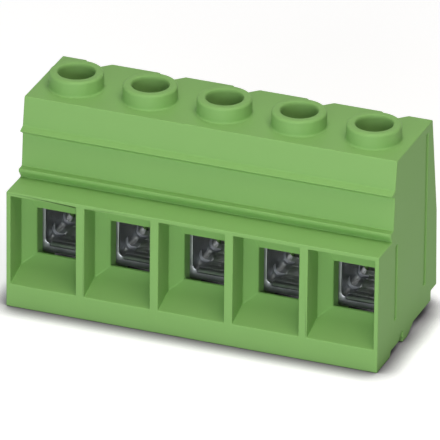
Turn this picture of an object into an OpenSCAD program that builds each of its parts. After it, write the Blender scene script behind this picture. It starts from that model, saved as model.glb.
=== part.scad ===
// Row of screw terminals for a printed board.
// Five single-pole housings keyed side by side, each with a lift clamp:
// a captive screw raises a folded sleeve that grips the wire under a fixed bar.
//
// Frame: +X along the row, -Y the wire side, +Z up.
// z = 0 is the board's surface, the solder pins reach below it, and the
// origin lies between the two pins of the middle pole.
//
// Inside the modules y is measured from the front face, and x from the
// middle of one pole; place() moves a pole to its place in the row.

/* [Row] */
// Distance from pole to pole
pitch = 10.16; // [9.8:0.02:12]

/* [Front block] */
// Height of the ledge above the board
ledge_z = 16.3; // [15.6:0.1:17]
// Depth of the ledge, from the front face to the root of the lower rib
ledge_d = 4.85; // [4.4:0.05:5]
// Thickness of a window's side wall
side_wall = 0.59; // [0.4:0.01:0.9]
// Thickness of the lip above a window
lip = 0.6; // [0.4:0.05:1.2]
// Height of a window's lower edge at the front face
window_z = 3.2; // [2.6:0.1:4]
// Depth of the straight-walled part of a window
recess_d = 3.7; // [3:0.1:4]
// Rise of the window's floor over that depth
ramp_rise = 1.2; // [0.4:0.1:1.6]
// Depth of the sloping funnel behind it
funnel_d = 1.4; // [1:0.1:1.6]
// Width of the wire entry
entry_w = 5.7; // [5:0.1:6]
// Height of the wire entry
entry_h = 6.4; // [5.6:0.1:6.6]
// Height of the wire entry's lower edge above the board
entry_z = 5.7; // [5.2:0.1:6]
// Thickness of the wall round the wire entry
entry_wall = 0.4; // [0.3:0.05:0.6]

/* [Upper body] */
// Height of the top face above the board
top_z = 27.1; // [26.8:0.1:30]
// Front edge of the top face
top_front = 6.15; // [5.8:0.05:6.4]
// Rear edge of the top face
top_rear = 19.3; // [18.6:0.1:20]
// Front of the label field at its foot
label_y = 5.2; // [5:0.05:5.4]
// How far the label field leans back over its height
label_lean = 0.35; // [0:0.05:0.5]
// Height of the label field between its two ribs
label_h = 4.4; // [3.6:0.1:4.6]
// Height of the lower rib's top above the ledge
rib_low_h = 1.4; // [1:0.1:1.8]
// Thickness of the lower rib at its edge
rib_low_t = 0.45; // [0.3:0.05:0.7]
// How far each rib stands proud of the label field
rib_reach = 1.05; // [0.6:0.05:1.3]
// Height of the upper rib, from its lower root to its upper root
rib_high_h = 1.1; // [0.8:0.1:1.4]

/* [Rear] */
// Depth of the pole at the foot of its rear face
rear_y = 22; // [21.6:0.1:24]
// Depth of the rear face at the height where it starts to lean
rear_bend_y = 21.55; // [20.4:0.05:22]
// Height at which the rear face starts to lean forward
rear_bend_z = 13.3; // [10:0.1:16]
// Width of the finger groove at the rear edge of the top
groove_w = 3.6; // [2.4:0.1:4.4]
// Depth of the finger groove
groove_d = 1.2; // [0.6:0.1:1.4]

/* [Collar] */
// Outer diameter of the collar round the screw hole
collar_d = 7.12; // [6.6:0.02:8]
// Height of the collar above the top face
collar_h = 2.15; // [1.5:0.05:3]
// Radius of the collar's rounded rim
collar_round = 0.38; // [0.1:0.02:0.5]
// Radius of the fillet at the collar's foot
collar_fillet = 0.3; // [0.1:0.05:0.4]
// Diameter of the tapered mouth of the screw hole, at the rim
mouth_d = 5; // [4.8:0.05:5.4]
// Depth of that taper
mouth_depth = 0.5; // [0.3:0.1:1]
// Diameter of the screw hole below its mouth
hole_d = 4.7; // [4.4:0.05:4.8]
// Distance of the screw's axis from the front face
screw_y = 11.4; // [11.2:0.05:11.6]

/* [Clamp] */
// Pitch of the clamp screw's thread
thread_pitch = 0.7; // [0.5:0.05:0.8]
// Turns of the screw from open to closed
turns = 9; // [6:1:9]
// Nominal diameter of the thread
thread_d = 4; // [3.5:0.1:4.2]
// Diameter of the screw's head
head_d = 5.6; // [5.2:0.1:6]
// Height of the screw's head
head_h = 2.2; // [1.6:0.1:2.3]
// Width of the driver slot
slot_w = 1; // [0.6:0.1:1.2]
// Depth of the driver slot
slot_depth = 1.2; // [0.8:0.1:1.4]
// Outer width of the clamp sleeve
sleeve_w = 7.7; // [7.4:0.1:8]
// Length of the clamp sleeve, from front to rear
sleeve_l = 8.3; // [7.8:0.1:8.5]
// Thickness of the sleeve's strip
strip = 1.3; // [1.1:0.05:1.4]
// Inner radius of the sleeve's bends
bend_r = 0.6; // [0.3:0.05:0.8]
// Height of the open sleeve's underside above the board
sleeve_z = 4.9; // [4.4:0.1:5.1]
// Rounding of the floor's front edge, where the wire goes in
lead_r = 1; // [0.4:0.1:1.1]
// Length of the notches across the sleeve's lower bends
notch_w = 1.15; // [0.6:0.05:1.4]
// Depth of those notches, into the bend
notch_depth = 0.35; // [0.2:0.05:0.5]
// Distance between the two notches of a bend
notch_gap = 3.55; // [2.6:0.05:4]
// Distance from the front face to the middle between them
notch_y = 11.65; // [11.2:0.05:11.8]

/* [Current bar] */
// Height of the bar's underside above the board
bar_z = 12.8; // [12.6:0.1:13]
// Thickness of the bar
bar_t = 1.5; // [1.2:0.05:1.6]
// Width of the bar
bar_w = 4.6; // [4.2:0.1:4.7]
// Inner radius of the bar's bend
bar_bend = 0.8; // [0.5:0.1:1]
// Depth of the grip grooves in the bar's underside
grip = 0.2; // [0.1:0.05:0.3]
// Length of the solder pins below the board's surface
pin_l = 4.5; // [3:0.1:5]
// Width of one solder pin
pin_w = 1.25; // [0.8:0.05:1.5]

/* [Feet and keys] */
// Depth of the front foot
foot_d = 4.8; // [4.4:0.1:5]
// Height of the gap behind the front foot
arch_h = 0.75; // [0.4:0.05:1.2]
// Front of the middle foot
mid_foot_y = 9.5; // [9:0.1:10]
// Length of the middle foot
mid_foot_l = 1.7; // [1:0.1:2.5]
// Height of the underside behind the middle foot
rear_gap = 1.1; // [0.6:0.1:1.4]
// Height of the rear skirt's underside
skirt_z = 2.5; // [1.8:0.1:3]
// How far the rear skirt overhangs the underside
skirt_d = 2.1; // [1.4:0.1:2.4]
// Wall thickness of the hollow front foot
foot_wall = 0.9; // [0.7:0.05:1.2]
// Width of the key grooves in the right side face
key_w = 0.75; // [0.5:0.05:1]
// Depth of those grooves
key_depth = 0.25; // [0.15:0.05:0.35]
// Height of their lower ends above the board
key_z = 4.6; // [3.5:0.1:7]
// Width of the latch pocket at the foot of the right side face
latch_w = 1.35; // [0.8:0.05:1.5]
// Height of the latch pocket
latch_h = 1.6; // [1:0.1:2]

/* [Clearances] */
// Running clearance round the screw's thread, on the radius
thread_clear = 0.05; // [0.02:0.01:0.1]
// Clearance round the screw's head, on the radius
head_clear = 0.15; // [0.1:0.05:0.3]
// Clearance between the sleeve and its chamber, on each face
sleeve_clear = 0.15; // [0.1:0.05:0.25]
// Clearance between the sleeve and the bar, at either end of the travel
bar_clear = 0.2; // [0.15:0.05:0.3]
// Clearance between the bar and its slots, on each face
slot_clear = 0.03; // [0.01:0.01:0.08]
// Clearance between keys and grooves, on each face
key_clear = 0.03; // [0.01:0.01:0.08]
// Gap between the two folded layers on top of the sleeve
fold_gap = 0.05; // [0.03:0.01:0.1]

/* [Hidden] */
$fn = 64;
poles = 5;
past = 1;                                    // how far a cut runs past a face

// The clamp, from the wire space upwards
travel = turns * thread_pitch;               // lift of the sleeve
sleeve_in_w = sleeve_w - 2 * strip;
floor_z = sleeve_z + strip;                  // the sleeve's floor when open
bar_top = bar_z + bar_t;
fold_z = bar_top + bar_clear;                // underside of the folded top when open
sleeve_top = fold_z + 2 * strip + fold_gap;
head_z = sleeve_top + travel + sleeve_clear; // underside of the screw's head
head_top = head_z + head_h;
tip_z = bar_top + thread_clear;              // the screw's tip bears on the bar
sleeve_front = screw_y - sleeve_l / 2;
sleeve_rear = screw_y + sleeve_l / 2;

// The chamber that the sleeve runs in
chamber_w = sleeve_w + 2 * sleeve_clear;
chamber_front = sleeve_front - sleeve_clear;
chamber_rear = sleeve_rear + sleeve_clear;
funnel_end = recess_d + funnel_d;
window_w = pitch - 2 * side_wall;
window_top = ledge_z - lip;

// The bar: its front end lies in a pocket, its leg goes down behind the sleeve
bar_front = funnel_end + 2 * entry_wall;
leg_front = chamber_rear + bar_bend;
leg_rear = leg_front + bar_t;
pin_y = (leg_front + leg_rear) / 2;          // the row of solder pins
pin_x = (bar_w - pin_w) / 2;

// The label field between its ribs
label_z = ledge_z + rib_low_h;
label_top = label_z + label_h;
key_front = top_front + key_w / 2;           // middle of the front key groove
key_rear = top_rear - 2;                     // middle of the rear key groove

module place(k) {
    translate([(k - (poles + 1) / 2) * pitch, -pin_y, 0]) children();
}

// Extrudes a (y, z) outline across a pole, from x0 to x1
module across(x0, x1) {
    translate([x0, 0, 0]) rotate([90, 0, 90]) linear_extrude(x1 - x0) children();
}

// Extrudes an (x, z) outline backwards, from y0 to y1
module backwards(y0, y1) {
    translate([0, y1, 0]) rotate([90, 0, 0]) linear_extrude(y1 - y0) children();
}

module block(x0, x1, y0, y1, z0, z1) {
    translate([x0, y0, z0]) cube([x1 - x0, y1 - y0, z1 - z0]);
}

// Rectangle with round corners, in true arcs
module round_rect(x0, x1, z0, z1, r) {
    translate([x0 + r, z0]) square([x1 - x0 - 2 * r, z1 - z0]);
    translate([x0, z0 + r]) square([x1 - x0, z1 - z0 - 2 * r]);
    for (x = [x0 + r, x1 - r], z = [z0 + r, z1 - r])
        translate([x, z]) circle(r);
}

// ---- housing ----

// Side outline of one pole, from the front foot round to the ledge
module pole_outline() {
    polygon([
        [0, 0], [foot_d, 0], [foot_d + 0.3, arch_h], [mid_foot_y, arch_h],
        [mid_foot_y, 0], [mid_foot_y + mid_foot_l, 0],
        [mid_foot_y + mid_foot_l + 2 * rear_gap, rear_gap],
        [rear_y - skirt_d, rear_gap], [rear_y - skirt_d, skirt_z],
        [rear_y, skirt_z], [rear_bend_y, rear_bend_z],
        [top_rear, top_z], [top_front, top_z],
        [label_y + label_lean, label_top + rib_high_h],
        [label_y + label_lean - rib_reach, label_top + rib_high_h * 0.65],
        [label_y + label_lean, label_top],
        [label_y, label_z], [label_y - rib_reach, label_z],
        [label_y - rib_reach, label_z - rib_low_t],
        [ledge_d, ledge_z], [0, ledge_z]]);
}

// Collar with a rounded rim and a fillet at its foot
module collar() {
    r = collar_d / 2;
    translate([0, screw_y, top_z]) rotate_extrude() {
        square([r, collar_h - collar_round]);
        square([r - collar_round, collar_h]);
        translate([r - collar_round, collar_h - collar_round]) circle(collar_round, $fn = 32);
        difference() {
            square([r + collar_fillet, collar_fillet]);
            translate([r + collar_fillet, collar_fillet]) circle(collar_fillet, $fn = 32);
        }
    }
}

// Window with a rising floor, then the funnel down to the wire entry
module wire_funnel() {
    slope = ramp_rise / recess_d;
    across(-window_w / 2, window_w / 2) polygon([
        [-past, window_z - past * slope], [recess_d, window_z + ramp_rise],
        [recess_d, window_top], [-past, window_top]]);
    intersection() {
        across(-pitch, pitch) polygon([
            [recess_d, window_z + ramp_rise], [funnel_end, entry_z],
            [funnel_end, entry_z + entry_h], [recess_d, window_top]]);
        linear_extrude(ledge_z) polygon([
            [-window_w / 2, recess_d], [window_w / 2, recess_d],
            [entry_w / 2, funnel_end], [-entry_w / 2, funnel_end]]);
    }
    block(-entry_w / 2, entry_w / 2, funnel_end, chamber_front + past, entry_z, entry_z + entry_h);
}

// Everything that the clamp needs: well, chamber, head room and screw hole
module clamp_space() {
    block(-entry_w / 2, entry_w / 2, funnel_end + entry_wall, chamber_front + past,
          -past, entry_z + entry_h);
    block(-chamber_w / 2, chamber_w / 2, chamber_front, chamber_rear, -past,
          head_z);
    translate([0, screw_y, 0]) {
        translate([0, 0, head_z - past]) cylinder(h = head_h + past + head_clear,
                                                  d = head_d + 2 * head_clear);
        translate([0, 0, head_top]) cylinder(h = top_z - head_top + collar_h + past, d = hole_d);
        translate([0, 0, top_z + collar_h - mouth_depth])
            cylinder(h = mouth_depth + past, d1 = hole_d,
                     d2 = hole_d + (mouth_d - hole_d) * (1 + past / mouth_depth));
    }
}

// Pocket for the bar's front end and slot for its leg
module bar_slots() {
    half = bar_w / 2 + slot_clear;
    block(-half, half, bar_front - slot_clear, chamber_front + past,
          bar_z - slot_clear, bar_top + slot_clear);
    block(-half, half, chamber_rear - past, leg_rear + slot_clear, -past, bar_top + slot_clear);
}

// Trapezoid groove down the leaning part of the rear face
module finger_groove() {
    lean = atan2(rear_bend_y - top_rear, top_z - rear_bend_z);
    length = norm([rear_bend_y - top_rear, top_z - rear_bend_z]);
    translate([0, top_rear, top_z]) rotate([lean, 0, 0])
        translate([0, 0, -length]) linear_extrude(length + past * 2)
            polygon([
                [-groove_w / 2 - past, past], [groove_w / 2 + past, past],
                [groove_w / 2 - groove_d, -groove_d], [-groove_w / 2 + groove_d, -groove_d]]);
}

// Keys that hold the poles in line; spare is the clearance of the groove
module keys(x0, x1, spare) {
    for (y = [key_front, key_rear])
        block(x0, x1, y - key_w / 2 - spare, y + key_w / 2 + spare,
              key_z - spare, (y == key_front ? ledge_z : top_z) - 1.2 + spare);
    block(x0, x1, mid_foot_y - latch_w - spare, mid_foot_y + spare, arch_h, latch_h + spare);
}

module housing() {
    side = pitch / 2;
    color("#7fae62") difference() {
        union() {
            across(-side, side) pole_outline();
            collar();
            block(-bar_w / 2, bar_w / 2, leg_rear + foot_wall, rear_y - skirt_d, 0, rear_gap + past);
            keys(-side - key_depth + key_clear, -side + past / 2, 0);
        }
        wire_funnel();
        clamp_space();
        bar_slots();
        finger_groove();
        keys(side - key_depth, side + past, key_clear);
        block(-window_w / 2 + foot_wall / 2, window_w / 2 - foot_wall / 2, foot_wall,
              foot_d - foot_wall, -past, window_z - foot_wall);
    }
}

// ---- clamp ----

module clamp_screw() {
    r = thread_d / 2;
    color("#b9bcc0") translate([0, screw_y, 0]) difference() {
        rotate_extrude() {
            polygon([
                [0, tip_z], [r - 0.6, tip_z], [r, tip_z + 0.6], [r, head_z],
                [head_d / 2, head_z], [head_d / 2, head_top - 0.3],
                [head_d / 2 - 0.3, head_top], [0, head_top]]);
        }
        block(-slot_w / 2, slot_w / 2, -head_d, head_d, head_top - slot_depth, head_top + past);
    }
}

// Folded strip: floor, two walls, an inner and an outer layer on top
module sleeve_section() {
    w = sleeve_w / 2;
    in = sleeve_in_w / 2;
    out_r = bend_r + 0.65 * strip;
    inner_top = fold_z + strip;
    difference() {
        union() {
            round_rect(-w, w, sleeve_z, inner_top, out_r);
            difference() {
                round_rect(-w, w, sleeve_z, sleeve_top, out_r);
                translate([-w - past, sleeve_z - past])
                    square([w + in + past, inner_top + fold_gap - sleeve_z + past]);
            }
        }
        round_rect(-in, in, floor_z, fold_z, bend_r);
        translate([in - fold_gap, fold_z - bend_r])
            square([fold_gap, bend_r + strip + fold_gap]);
    }
}

module clamp_sleeve() {
    flat = sleeve_in_w / 2 - bend_r;
    color("#8d9196") difference() {
        backwards(sleeve_front, sleeve_rear) sleeve_section();
        translate([0, screw_y, fold_z - past])
            cylinder(h = sleeve_top - fold_z + 2 * past, r = thread_d / 2 + thread_clear);
        for (side = [-1, 1], s = [-1, 1])
            translate([side * flat, notch_y + s * notch_gap / 2, floor_z + bend_r])
                rotate([90, 0, 0])
                    cylinder(h = notch_w, r = bend_r + notch_depth, center = true);
        across(-flat, flat) difference() {
            translate([sleeve_front - past, floor_z - lead_r]) square([lead_r + past, lead_r + past]);
            translate([sleeve_front + lead_r, floor_z - lead_r]) circle(lead_r);
        }
    }
}

// ---- current bar ----

module current_bar() {
    half = bar_w / 2;
    mid = bar_z - bar_bend;
    color("#c9b07a") difference() {
        union() {
            block(-half, half, bar_front, chamber_rear, bar_z, bar_top);
            block(-half, half, leg_front, leg_rear, -pin_l, mid);
            across(-half, half) intersection() {
                translate([chamber_rear, mid]) square(bar_bend + bar_t);
                difference() {
                    translate([chamber_rear, mid]) circle(bar_bend + bar_t);
                    translate([chamber_rear, mid]) circle(bar_bend);
                }
            }
        }
        block(-half + pin_w, half - pin_w, 0, rear_y, -pin_l - past, rear_gap);
        for (s = [-1, 1], y = [leg_front, leg_rear])
            translate([s * pin_x, y, -pin_l]) rotate([45, 0, 0])
                cube([pin_w + past, 0.6, 0.6], center = true);
        for (i = [-2:2])
            across(-half - past, half + past) polygon([
                [screw_y + i * 1.2 - grip, bar_z - 0.01], [screw_y + i * 1.2 + grip, bar_z - 0.01],
                [screw_y + i * 1.2, bar_z + grip]]);
    }
}

for (k = [1:poles]) {
    place(k) housing();
    place(k) clamp_screw();
    place(k) clamp_sleeve();
    place(k) current_bar();
}
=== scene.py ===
# The looks of a five-pole screw terminal for a printed board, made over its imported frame.
# Laid out as an add-on and run as a script. Lengths are in metres, in the frame's own axes.

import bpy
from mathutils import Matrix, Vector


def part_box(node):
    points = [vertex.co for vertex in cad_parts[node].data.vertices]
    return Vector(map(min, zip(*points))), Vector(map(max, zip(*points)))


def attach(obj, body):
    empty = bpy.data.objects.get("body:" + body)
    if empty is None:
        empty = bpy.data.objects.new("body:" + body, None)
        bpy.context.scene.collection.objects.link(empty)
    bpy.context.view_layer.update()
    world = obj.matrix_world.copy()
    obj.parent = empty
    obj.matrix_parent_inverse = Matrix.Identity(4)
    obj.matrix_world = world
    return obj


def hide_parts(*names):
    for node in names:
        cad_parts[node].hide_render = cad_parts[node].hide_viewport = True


bl_info = {
    "name": "PCB Screw Terminal",
    "version": (1, 0, 0),
    "blender": (4, 5, 0),
    "location": "3D View > Sidebar > Terminal",
    "description": "Moulded housings, threaded clamp screws, folded clamp sleeves and current bars",
    "category": "Object",
}

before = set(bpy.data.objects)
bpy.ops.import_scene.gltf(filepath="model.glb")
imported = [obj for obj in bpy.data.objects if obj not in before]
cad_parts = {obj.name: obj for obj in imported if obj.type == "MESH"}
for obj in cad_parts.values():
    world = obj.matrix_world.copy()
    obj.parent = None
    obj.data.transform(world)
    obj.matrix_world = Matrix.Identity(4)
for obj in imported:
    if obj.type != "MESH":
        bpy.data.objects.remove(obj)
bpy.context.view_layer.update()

import math

import bpy
from bpy.props import FloatProperty, FloatVectorProperty, IntProperty, PointerProperty
from mathutils import Matrix, Quaternion, Vector

MM = 0.001
POLES = 5

# The camera: where it aims, how far off it stands, and which ways are right, up and ahead
VIEW_AIM = (-0.37 * MM, -6.08 * MM, 11.82 * MM)
VIEW_DISTANCE = 1209 * MM
VIEW_RIGHT = (0.93265, 0.36067, 0.00932)
VIEW_UP = (-0.16662, 0.40764, 0.89782)
VIEW_LOOK = (-0.32002, 0.83890, -0.44027)


# ---- colours and material nodes ----

def linear(code):
    """Linear red, green, blue and alpha of an sRGB hex colour."""
    parts = [int(code[i:i + 2], 16) / 255 for i in (1, 3, 5)]
    return tuple(c / 12.92 if c <= 0.04045 else ((c + 0.055) / 1.055) ** 2.4
                 for c in parts) + (1.0,)


def add_node(tree, kind, settings=None, links=None):
    """A node with its attributes or input values set and its inputs linked."""
    node = tree.nodes.new(kind)
    for key, value in (settings or {}).items():
        if isinstance(key, int) or key in node.inputs:
            node.inputs[key].default_value = value
        else:
            setattr(node, key, value)
    for key, socket in (links or {}).items():
        tree.links.new(socket, node.inputs[key])
    return node


def new_material(name):
    """An empty material with its output node."""
    material = bpy.data.materials.new(name)
    material.use_nodes = True
    tree = material.node_tree
    tree.nodes.clear()
    return material, tree, add_node(tree, "ShaderNodeOutputMaterial")


def moulded_polyamide(looks):
    """Polyamide 6.6, injection moulded in a finely spark-eroded tool: satin, evenly coloured,
    with faint clouding from the melt's flow and a grain too fine to see one by one."""
    material, tree, out = new_material("moulded_polyamide_green")
    place = add_node(tree, "ShaderNodeTexCoord")
    # melt clouding, patches of about 7 mm
    cloud = add_node(tree, "ShaderNodeTexNoise", {"Scale": 1 / (7 * MM), "Detail": 3.0},
                     {"Vector": place.outputs["Object"]})
    tone = add_node(tree, "ShaderNodeMix", {"data_type": "RGBA"}, {"Factor": cloud.outputs["Fac"]})
    tone.inputs[6].default_value = looks.plastic_deep
    tone.inputs[7].default_value = looks.plastic
    # spark-eroded grain: 0.05 mm in the real tool, drawn at 0.2 mm so that it shows
    grain = add_node(tree, "ShaderNodeTexNoise", {"Scale": 1 / (0.2 * MM), "Detail": 2.0},
                     {"Vector": place.outputs["Object"]})
    sheen = add_node(tree, "ShaderNodeMapRange", {"To Min": 0.54, "To Max": 0.66},
                     {"Value": cloud.outputs["Fac"]})
    bump = add_node(tree, "ShaderNodeBump", {"Strength": 0.08, "Distance": 0.02 * MM},
                    {"Height": grain.outputs["Fac"]})
    surface = add_node(tree, "ShaderNodeBsdfPrincipled", {"IOR": 1.53, "Specular IOR Level": 0.25},
                       {"Base Color": tone.outputs[2], "Roughness": sheen.outputs["Result"],
                        "Normal": bump.outputs["Normal"]})
    tree.links.new(surface.outputs[0], out.inputs["Surface"])
    return material


def plated_steel(name, colour, dull, bright, rolled, across):
    """Steel with a barrel-plated zinc coat: grey, half bright, with the strip's rolling lines
    showing through and a soft clouding of the coat. across is the axis that the lines cross."""
    material, tree, out = new_material(name)
    place = add_node(tree, "ShaderNodeTexCoord")
    # rolling lines, one about every 0.15 mm and drawn out 30 times along the strip
    thin, long = 1 / (rolled * MM), 1 / (30 * rolled * MM)
    lines_at = add_node(tree, "ShaderNodeMapping",
                        {"Scale": tuple(thin if axis == across else long for axis in "xyz")},
                        {"Vector": place.outputs["Object"]})
    lines = add_node(tree, "ShaderNodeTexNoise", {"Scale": 1.0, "Detail": 2.0},
                     {"Vector": lines_at.outputs["Vector"]})
    # clouds of the zinc coat, about 1.5 mm across
    coat = add_node(tree, "ShaderNodeTexNoise", {"Scale": 1 / (1.5 * MM), "Detail": 4.0},
                    {"Vector": place.outputs["Object"]})
    tone = add_node(tree, "ShaderNodeMix", {"data_type": "RGBA"}, {"Factor": coat.outputs["Fac"]})
    tone.inputs[6].default_value = dull
    tone.inputs[7].default_value = colour
    rough = add_node(tree, "ShaderNodeMapRange", {"To Min": bright, "To Max": bright + 0.16},
                     {"Value": coat.outputs["Fac"]})
    bump = add_node(tree, "ShaderNodeBump", {"Strength": 0.25, "Distance": 0.01 * MM},
                    {"Height": lines.outputs["Fac"]})
    surface = add_node(tree, "ShaderNodeBsdfPrincipled", {"Metallic": 1.0},
                       {"Base Color": tone.outputs[2], "Roughness": rough.outputs["Result"],
                        "Normal": bump.outputs["Normal"]})
    tree.links.new(surface.outputs[0], out.inputs["Surface"])
    return material


def matt_board(looks):
    """Matt white studio board: its own tone lifts the floor to white and keeps the lamps' shadow; close
    to the object's foot a painted shadow darkens its colour and its lift.
    """
    material, tree, out = new_material("matt_white_board")
    lift = add_node(tree, "ShaderNodeEmission", {"Color": linear("#FFFFFF")})
    path = add_node(tree, "ShaderNodeLightPath")
    one = add_node(tree, "ShaderNodeMath", {"operation": "MAXIMUM"},
                   {0: path.outputs["Is Camera Ray"], 1: path.outputs["Is Glossy Ray"]})
    seen = add_node(tree, "ShaderNodeMath", {"operation": "MAXIMUM"},
                    {0: one.outputs[0], 1: path.outputs["Is Transmission Ray"]})
    # painted shadow: close to the object's foot, where the ambient-occlusion node finds the floor
    # closed in, the floor's colour is darkened toward a violet grey and its lift is dimmed, standing in
    # for soft light all round that doesn't reach there
    open_sky = add_node(tree, "ShaderNodeAmbientOcclusion", {"samples": 16, "Distance": 3.3 * MM})
    painted_shadow_fade = add_node(tree, "ShaderNodeMath", {"operation": "POWER", 1: 3.2},
                    {0: open_sky.outputs["AO"]})
    tone = add_node(tree, "ShaderNodeMix", {"data_type": "RGBA"}, {"Factor": painted_shadow_fade.outputs[0]})
    # the painted shadow's colour, a dark violet grey
    tone.inputs[6].default_value = linear("#4A424E")
    tone.inputs[7].default_value = looks.floor
    diffuse = add_node(tree, "ShaderNodeBsdfDiffuse", {"Roughness": 0.0},
                       {"Color": tone.outputs[2]})
    # the floor's lift is dimmed under the painted shadow as well
    lift_under_painted_shadow = add_node(tree, "ShaderNodeMath", {"operation": "MULTIPLY", 1: looks.floor_lift},
                     {0: painted_shadow_fade.outputs[0]})
    level = add_node(tree, "ShaderNodeMath", {"operation": "MULTIPLY"},
                     {0: seen.outputs[0], 1: lift_under_painted_shadow.outputs[0]})
    tree.links.new(level.outputs[0], lift.inputs["Strength"])
    both = add_node(tree, "ShaderNodeAddShader", None,
                    {0: diffuse.outputs[0], 1: lift.outputs[0]})
    tree.links.new(both.outputs[0], out.inputs["Surface"])
    return material


# ---- modelling helpers ----

def deselect_all():
    if bpy.context.mode != "OBJECT":
        bpy.ops.object.mode_set(mode="OBJECT")
    bpy.ops.object.select_all(action="DESELECT")


def pick(piece):
    """Makes a piece the only selected and the active one."""
    deselect_all()
    piece.select_set(True)
    bpy.context.view_layer.objects.active = piece


def merged_copy(node, name):
    """A new piece from a CAD node's shape, its triangles joined into whole flat faces."""
    piece = bpy.data.objects.new(name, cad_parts[node].data.copy())
    bpy.context.scene.collection.objects.link(piece)
    piece.data.materials.clear()
    pick(piece)
    bpy.ops.object.mode_set(mode="EDIT")
    bpy.ops.mesh.select_mode(type="VERT")
    bpy.ops.mesh.select_all(action="SELECT")
    bpy.ops.mesh.remove_doubles(threshold=0.002 * MM)
    bpy.ops.mesh.dissolve_limited(angle_limit=math.radians(0.6), use_dissolve_boundaries=False)
    bpy.ops.object.mode_set(mode="OBJECT")
    if piece.data.has_custom_normals:
        bpy.ops.mesh.customdata_custom_splitnormals_clear()
    return piece


def edge_angles(mesh):
    """The angle between the two faces of each edge, in degrees, and 0 where there aren't two."""
    faces = {}
    for polygon in mesh.polygons:
        for key in polygon.edge_keys:
            faces.setdefault(key, []).append(polygon.normal)
    angles = []
    for edge in mesh.edges:
        pair = faces.get(edge.key, [])
        angles.append(math.degrees(pair[0].angle(pair[1], 0.0)) if len(pair) == 2 else 0.0)
    return angles


def weigh_edges(piece, rule, least=28):
    """Gives each edge sharper than least degrees the bevel weight that rule(a, b) returns."""
    mesh = piece.data
    layer = mesh.attributes.new("bevel_weight_edge", "FLOAT", "EDGE")
    for edge, angle in zip(mesh.edges, edge_angles(mesh)):
        if angle > least:
            a, b = (mesh.vertices[v].co for v in edge.vertices)
            layer.data[edge.index].value = rule(a, b)


def round_edges(piece, width, segments=3):
    """Rounds the weighed edges and keeps the flat faces flat."""
    pick(piece)
    bevel = piece.modifiers.new("Rounded edges", "BEVEL")
    bevel.width = width
    bevel.segments = segments
    bevel.limit_method = "WEIGHT"
    bevel.use_clamp_overlap = False
    bevel.loop_slide = False
    bevel.miter_outer = "MITER_ARC"
    bpy.ops.object.modifier_apply(modifier=bevel.name)
    bpy.ops.object.mode_set(mode="EDIT")
    bpy.ops.mesh.select_all(action="SELECT")
    bpy.ops.mesh.vert_connect_concave()
    bpy.ops.mesh.quads_convert_to_tris(quad_method="BEAUTY", ngon_method="BEAUTY")
    bpy.ops.object.mode_set(mode="OBJECT")
    smooth(piece)


def smooth(piece, angle=40):
    pick(piece)
    bpy.ops.object.shade_smooth_by_angle(angle=math.radians(angle))
    weighted = piece.modifiers.new("Flat faces", "WEIGHTED_NORMAL")
    weighted.keep_sharp = True
    bpy.ops.object.modifier_apply(modifier=weighted.name)


def finish_piece(piece, body, slot, material, *nodes):
    """Gives a piece its material and its place in the frame."""
    piece.data.materials.clear()
    piece.data.materials.append(material)
    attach(piece, body)
    if nodes:
        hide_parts(*nodes)
    return piece


def node_box(node):
    low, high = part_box(node)
    return low, high, (low + high) / 2


# ---- sizes and colours ----

class TerminalSizes(bpy.types.PropertyGroup):
    edge_round: FloatProperty(
        name="Edge rounding", description="Radius of the housings' moulded edges",
        default=0.14 * MM, min=0.02 * MM, max=0.3 * MM, unit="LENGTH", precision=5)
    joint_round: FloatProperty(
        name="Joint rounding", description="Edge radius where one housing meets the next",
        default=0.03 * MM, min=0.01 * MM, max=0.1 * MM, unit="LENGTH", precision=5)
    metal_round: FloatProperty(
        name="Stamped edge rounding", description="Radius of the metal parts' edges",
        default=0.12 * MM, min=0.02 * MM, max=0.25 * MM, unit="LENGTH", precision=5)
    thread_pitch: FloatProperty(
        name="Thread pitch", description="Rise of the clamp screw's thread per turn",
        default=0.7 * MM, min=0.4 * MM, max=1.0 * MM, unit="LENGTH", precision=5)
    thread_depth: FloatProperty(
        name="Thread depth", description="Height of the thread above the screw's core",
        default=0.38 * MM, min=0.2 * MM, max=0.5 * MM, unit="LENGTH", precision=5)
    serration: FloatProperty(
        name="Serration spacing", description="Distance between the fine ridges in the sleeve",
        default=0.935 * MM, min=0.3 * MM, max=1.2 * MM, unit="LENGTH", precision=5)
    serration_depth: FloatProperty(
        name="Serration depth", description="Depth of the fine ridges in the sleeve",
        default=0.12 * MM, min=0.01 * MM, max=0.15 * MM, unit="LENGTH", precision=5)


class TerminalLooks(bpy.types.PropertyGroup):
    plastic: FloatVectorProperty(
        name="Plastic", description="Main colour of the housings",
        default=linear("#82AF63"), size=4, min=0, max=1, subtype="COLOR")
    plastic_deep: FloatVectorProperty(
        name="Plastic, deep", description="Colour where the melt is a little denser",
        default=linear("#7EAB5F"), size=4, min=0, max=1, subtype="COLOR")
    zinc: FloatVectorProperty(
        name="Zinc", description="Bright places of the plated steel",
        default=linear("#B9BCBE"), size=4, min=0, max=1, subtype="COLOR")
    zinc_dull: FloatVectorProperty(
        name="Zinc, dull", description="Dull places of the plated steel",
        default=linear("#96999C"), size=4, min=0, max=1, subtype="COLOR")
    tin: FloatVectorProperty(
        name="Tin", description="Bright places of the tinned bar",
        default=linear("#CDCCC8"), size=4, min=0, max=1, subtype="COLOR")
    tin_dull: FloatVectorProperty(
        name="Tin, dull", description="Dull places of the tinned bar",
        default=linear("#ABA9A3"), size=4, min=0, max=1, subtype="COLOR")
    floor: FloatVectorProperty(
        name="Floor", description="Colour of the studio floor",
        default=linear("#E6E6E6"), size=4, min=0, max=1, subtype="COLOR")
    floor_lift: FloatProperty(
        name="Floor lift", description="Light that the floor shows to the camera alone",
        default=0.5, min=0, max=1, subtype="FACTOR")


# ---- pieces ----

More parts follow.
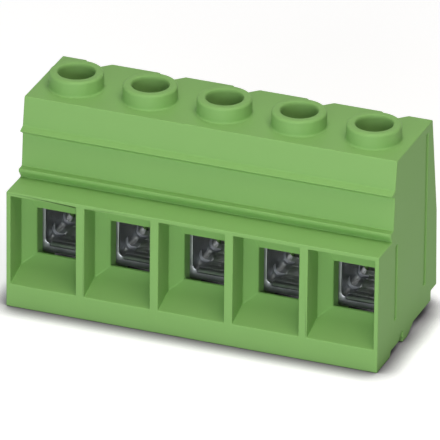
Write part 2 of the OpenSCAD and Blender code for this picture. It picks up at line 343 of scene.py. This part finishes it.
class TERMINAL_OT_housings(bpy.types.Operator):
    """Rounds the moulded edges of the five single-pole housings"""
    bl_idname = "terminal.housings"
    bl_label = "Moulded housings"

    def execute(self, context):
        sizes, looks = context.scene.terminal_sizes, context.scene.terminal_looks
        material = moulded_polyamide(looks)
        spans = [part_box(f"current_bar_{k}") for k in range(1, POLES + 1)]
        middles = [(low.x + high.x) / 2 for low, high in spans]
        half = (middles[1] - middles[0]) / 2
        tight = sizes.joint_round / sizes.edge_round
        for k in range(1, POLES + 1):
            piece = merged_copy(f"housing_{k}", f"moulded_housing_{k}")
            left, right = middles[k - 1] - half, middles[k - 1] + half

            def weight(a, b):
                near = 0.3 * MM
                for side, outer in ((left, k == 1), (right, k == POLES)):
                    if max(abs(a.x - side), abs(b.x - side)) < near and not outer:
                        return 0.0
                    if max(abs(a.x - side), abs(b.x - side)) < near and min(
                            abs(a.x - side), abs(b.x - side)) > 0.01 * MM:
                        return tight
                return 1.0 if (a - b).length > 0.05 * MM else tight

            weigh_edges(piece, weight)
            round_edges(piece, sizes.edge_round)
            finish_piece(piece, "block", "housing_plastic", material, f"housing_{k}")
        return {"FINISHED"}


class TERMINAL_OT_bars(bpy.types.Operator):
    """Rounds the stamped edges of the five current bars"""
    bl_idname = "terminal.bars"
    bl_label = "Current bars"

    def execute(self, context):
        sizes, looks = context.scene.terminal_sizes, context.scene.terminal_looks
        material = plated_steel("tinned_copper_strip", looks.tin, looks.tin_dull, 0.28, 0.2, "x")
        for k in range(1, POLES + 1):
            piece = merged_copy(f"current_bar_{k}", f"tinned_bar_{k}")
            weigh_edges(piece, lambda a, b: 1.0 if (a - b).length > 0.3 * MM else 0.3)
            round_edges(piece, sizes.metal_round)
            finish_piece(piece, "block", "bar_copper", material, f"current_bar_{k}")
        return {"FINISHED"}


class TERMINAL_OT_screws(bpy.types.Operator):
    """Makes the five clamp screws: slotted cheese head, turned core and a rolled thread"""
    bl_idname = "terminal.screws"
    bl_label = "Clamp screws"

    def execute(self, context):
        sizes, looks = context.scene.terminal_sizes, context.scene.terminal_looks
        material = plated_steel("zinc_plated_screw_steel", looks.zinc, looks.zinc_dull, 0.24, 0.12, "z")
        first = None
        for k in range(1, POLES + 1):
            low, high, middle = node_box(f"clamp_screw_{k}")
            if first is None:
                first, home = self.make(sizes, low, high, middle), middle
                piece = first
            else:
                piece = bpy.data.objects.new("copy", first.data.copy())
                context.scene.collection.objects.link(piece)
                piece.data.transform(Matrix.Translation((middle.x - home.x, 0, 0)))
            piece.name = f"threaded_screw_{k}"
            finish_piece(piece, f"screw_{k}", "screw_steel", material, f"clamp_screw_{k}")
        return {"FINISHED"}

    def make(self, sizes, low, high, middle):
        piece = merged_copy("clamp_screw_1", "threaded_screw_1")
        axis = Vector((middle.x, middle.y, 0))
        reach = [((v.co - axis).xy.length, v.co.z) for v in piece.data.vertices]
        shank = max(r for r, z in reach if z < low.z + 2 * MM)
        head_z = min(z for r, z in reach if r > shank + 0.2 * MM)
        core = shank - sizes.thread_depth
        # the shank goes down to the thread's core, and its edges keep their sharpness
        for v in piece.data.vertices:
            away = (v.co - axis).xy
            if away.length > core and v.co.z < head_z + 0.01 * MM and away.length < shank + 0.1 * MM:
                v.co.xy = axis.xy + away * (core / away.length)
        weigh_edges(piece, lambda a, b: 1.0 if min(a.z, b.z) > head_z - 0.1 * MM else 0.2)
        round_edges(piece, 0.12 * MM, 2)
        thread = self.thread(sizes, axis, core, shank, low.z + 0.6 * MM, head_z)
        thread.select_set(True)
        piece.select_set(True)
        bpy.context.view_layer.objects.active = piece
        bpy.ops.object.join()
        return piece

    def thread(self, sizes, axis, core, shank, start, end):
        """One tooth drawn as an outline, then wound up the core and closed at both ends."""
        pitch = sizes.thread_pitch
        tooth = [(core - 0.1 * MM, -0.42), (core, -0.42), (shank, -0.07), (shank, 0.07),
                 (core, 0.42), (core - 0.1 * MM, 0.42)]
        deselect_all()
        bpy.ops.mesh.primitive_circle_add(vertices=len(tooth), radius=core, location=(0, 0, 0))
        thread = bpy.context.object
        for v, (r, share) in zip(thread.data.vertices, tooth):
            v.co = (r, 0, share * pitch)
        turns = int((end - start) / pitch - 0.5)
        wind = thread.modifiers.new("Wound", "SCREW")
        wind.angle = math.tau
        wind.screw_offset = pitch
        wind.iterations = turns
        wind.steps = wind.render_steps = 28
        wind.use_merge_vertices = False
        wind.use_smooth_shade = False
        pick(thread)
        bpy.ops.object.modifier_apply(modifier=wind.name)
        bpy.ops.object.mode_set(mode="EDIT")
        bpy.ops.mesh.select_all(action="SELECT")
        bpy.ops.mesh.remove_doubles(threshold=0.001 * MM)
        bpy.ops.mesh.select_all(action="DESELECT")
        bpy.ops.mesh.select_mode(type="EDGE")
        bpy.ops.mesh.select_non_manifold(extend=False, use_wire=False, use_multi_face=False,
                                         use_non_contiguous=False, use_verts=False)
        bpy.ops.mesh.fill()
        bpy.ops.mesh.select_all(action="SELECT")
        bpy.ops.mesh.normals_make_consistent(inside=False)
        bpy.ops.object.mode_set(mode="OBJECT")
        height = max(v.co.z for v in thread.data.vertices) - min(v.co.z for v in thread.data.vertices)
        base = min(v.co.z for v in thread.data.vertices)
        lift = (start + end - height) / 2 - base
        thread.data.transform(Matrix.Translation((axis.x, axis.y, lift)))
        smooth(thread, 30)
        return thread


class TERMINAL_OT_sleeves(bpy.types.Operator):
    """Makes the five clamp sleeves: folded strip with rounded lips and a serrated inside"""
    bl_idname = "terminal.sleeves"
    bl_label = "Clamp sleeves"

    def execute(self, context):
        sizes, looks = context.scene.terminal_sizes, context.scene.terminal_looks
        material = plated_steel("zinc_plated_steel_strip", looks.zinc, looks.zinc_dull, 0.34, 0.15, "y")
        first = None
        for k in range(1, POLES + 1):
            low, high, middle = node_box(f"clamp_sleeve_{k}")
            if first is None:
                first, home = self.make(sizes, low, high, middle), middle
                piece = first
            else:
                piece = bpy.data.objects.new("copy", first.data.copy())
                context.scene.collection.objects.link(piece)
                piece.data.transform(Matrix.Translation((middle.x - home.x, 0, 0)))
            piece.name = f"folded_sleeve_{k}"
            finish_piece(piece, f"sleeve_{k}", "sleeve_steel", material, f"clamp_sleeve_{k}")
        return {"FINISHED"}

    def make(self, sizes, low, high, middle):
        piece = merged_copy("clamp_sleeve_1", "folded_sleeve_1")
        strip, lead, drop = 1.3 * MM, 1.1 * MM, 0.4 * MM
        floor, flat = low.z + strip, (high.x - low.x) / 2 - strip - 0.6 * MM
        # the lead is pressed, so it falls gently to the strip's end
        for v in piece.data.vertices:
            if (abs(v.co.x - middle.x) < flat + 0.02 * MM and v.co.y < low.y + lead
                    and low.z + 0.02 * MM < v.co.z < floor - drop):
                v.co.z = floor - drop

        def weight(a, b):
            on_lead = all(v.y < low.y + lead and v.z < floor + 0.05 * MM for v in (a, b))
            beside = max(abs(abs(v.x - middle.x) - flat) for v in (a, b)) < 0.1 * MM
            if on_lead and beside:
                return 0.0
            across = abs(a.y - b.y) < 0.05 * MM
            ends = min(abs(a.y - low.y), abs(a.y - high.y)) < 0.05 * MM
            return 1.0 if across and ends else 0.25

        weigh_edges(piece, weight)
        round_edges(piece, sizes.metal_round, 3)
        return self.serrate(piece, sizes, low, high, middle)

    def serrate(self, piece, sizes, low, high, middle):
        """Cuts stations across the strip's inside and sinks the foot of each ridge's front."""
        strip, rise = 1.3 * MM, 0.05 * MM
        inside = (high.x - low.x) / 2 - strip
        start = low.y + 1.5 * MM
        count = int((high.y - 0.6 * MM - start) / sizes.serration) + 1
        peaks = [start + i * sizes.serration for i in range(count)]
        feet = [y - rise for y in peaks]
        pick(piece)
        bpy.ops.object.mode_set(mode="EDIT")
        for y in sorted(peaks + feet):
            bpy.ops.mesh.select_all(action="SELECT")
            bpy.ops.mesh.bisect(plane_co=(0, y, 0), plane_no=(0, 1, 0))
        bpy.ops.mesh.select_all(action="DESELECT")
        bpy.ops.mesh.select_mode(type="VERT")
        bpy.ops.object.mode_set(mode="OBJECT")
        for v in piece.data.vertices:
            v.select = (any(abs(v.co.y - y) < 1e-6 for y in feet)
                        and abs(v.co.x - middle.x) < inside - 0.5 * MM
                        and abs(v.co.z - low.z - strip) < 0.02 * MM)
        bpy.ops.object.mode_set(mode="EDIT")
        bpy.ops.transform.translate(value=(0, 0, -sizes.serration_depth))
        bpy.ops.object.mode_set(mode="OBJECT")
        smooth(piece, 25)
        return piece


# ---- stage ----

class TERMINAL_OT_stage(bpy.types.Operator):
    """Makes the studio: pale floor, soft lamps, white surroundings and the camera"""
    bl_idname = "terminal.stage"
    bl_label = "Studio"

    def execute(self, context):
        looks = context.scene.terminal_looks
        self.floor(looks)
        self.world()
        self.lamps()
        self.camera(context.scene)
        return {"FINISHED"}

    def floor(self, looks):
        deselect_all()
        bpy.ops.mesh.primitive_plane_add(size=6, location=(0, 0, 0))
        board = bpy.context.object
        board.name = "studio_floor"
        bpy.ops.object.mode_set(mode="EDIT")
        bpy.ops.mesh.select_all(action="SELECT")
        bpy.ops.mesh.inset(thickness=2.6)
        bpy.ops.mesh.subdivide(number_cuts=2)
        bpy.ops.object.mode_set(mode="OBJECT")
        board.data.materials.append(matt_board(looks))

    def world(self):
        world = bpy.data.worlds.new("studio_surroundings")
        bpy.context.scene.world = world
        world.use_nodes = True
        tree = world.node_tree
        tree.nodes.clear()
        path = add_node(tree, "ShaderNodeLightPath")
        one = add_node(tree, "ShaderNodeMath", {"operation": "MAXIMUM"},
                       {0: path.outputs["Is Camera Ray"], 1: path.outputs["Is Glossy Ray"]})
        seen = add_node(tree, "ShaderNodeMath", {"operation": "MAXIMUM"},
                        {0: one.outputs[0], 1: path.outputs["Is Transmission Ray"]})
        dim = add_node(tree, "ShaderNodeBackground", {"Color": linear("#F2F5FF"), "Strength": 0.1})
        white = add_node(tree, "ShaderNodeBackground", {"Color": linear("#FFFFFF"), "Strength": 1.0})
        both = add_node(tree, "ShaderNodeMixShader", None,
                        {0: seen.outputs[0], 1: dim.outputs[0], 2: white.outputs[0]})
        out = add_node(tree, "ShaderNodeOutputWorld")
        tree.links.new(both.outputs[0], out.inputs["Surface"])

    def lamps(self):
        # name, place, width, height, watts, colour
        plan = (
            ("top_softbox", (15, 20, 612), 400, 400, 1.56, "#FFFFFF"),
            ("front_softbox", (60, -406, 92), 300, 176, 1.05, "#F6F9FF"),
            ("right_softbox", (110, -110, 260), 150, 150, 0.25, "#FFF6E6"),
        )
        for name, place, width, height, watts, colour in plan:
            lamp = bpy.data.lights.new(name, "AREA")
            lamp.shape = "RECTANGLE"
            lamp.size, lamp.size_y = width * MM, height * MM
            lamp.energy = watts
            lamp.color = linear(colour)[:3]
            body = bpy.data.objects.new(name, lamp)
            bpy.context.scene.collection.objects.link(body)
            body.location = Vector(place) * MM
            direction = body.location - Vector((0, -6, 13)) * MM
            body.rotation_mode = "QUATERNION"
            body.rotation_quaternion = direction.to_track_quat("Z", "Y")
            body.visible_camera = False

    def camera(self, scene):
        lens = bpy.data.cameras.new("camera")
        lens.lens = 772.24
        lens.sensor_width = 36
        camera = bpy.data.objects.new("camera", lens)
        scene.collection.objects.link(camera)
        right, up, look = VIEW_RIGHT, VIEW_UP, VIEW_LOOK
        camera.location = Vector(VIEW_AIM) - Vector(look) * VIEW_DISTANCE
        camera.rotation_mode = "QUATERNION"
        turn = Matrix((right, up, [-c for c in look])).transposed()
        camera.rotation_quaternion = turn.to_quaternion()
        lens.clip_start, lens.clip_end = 0.05, 20
        scene.camera = camera
        scene.view_settings.view_transform = "Standard"


class TERMINAL_PT_panel(bpy.types.Panel):
    """Lists the terminal's pieces, sizes and colours"""
    bl_label = "Screw terminal"
    bl_idname = "TERMINAL_PT_panel"
    bl_space_type = "VIEW_3D"
    bl_region_type = "UI"
    bl_category = "Terminal"

    def draw(self, context):
        for operator in OPERATORS:
            self.layout.operator(operator.bl_idname)
        for group in (context.scene.terminal_sizes, context.scene.terminal_looks):
            column = self.layout.column()
            for key in group.__annotations__:
                column.prop(group, key)


OPERATORS = (TERMINAL_OT_housings, TERMINAL_OT_sleeves, TERMINAL_OT_screws, TERMINAL_OT_bars,
             TERMINAL_OT_stage)
CLASSES = (TerminalSizes, TerminalLooks) + OPERATORS + (TERMINAL_PT_panel,)


def register():
    for item in CLASSES:
        bpy.utils.register_class(item)
    bpy.types.Scene.terminal_sizes = PointerProperty(type=TerminalSizes)
    bpy.types.Scene.terminal_looks = PointerProperty(type=TerminalLooks)


def unregister():
    del bpy.types.Scene.terminal_looks
    del bpy.types.Scene.terminal_sizes
    for item in reversed(CLASSES):
        bpy.utils.unregister_class(item)


def main():
    register()
    deselect_all()
    bpy.ops.terminal.housings()
    bpy.ops.terminal.sleeves()
    bpy.ops.terminal.screws()
    bpy.ops.terminal.bars()
    bpy.ops.terminal.stage()


if __name__ == "__main__":
    main()
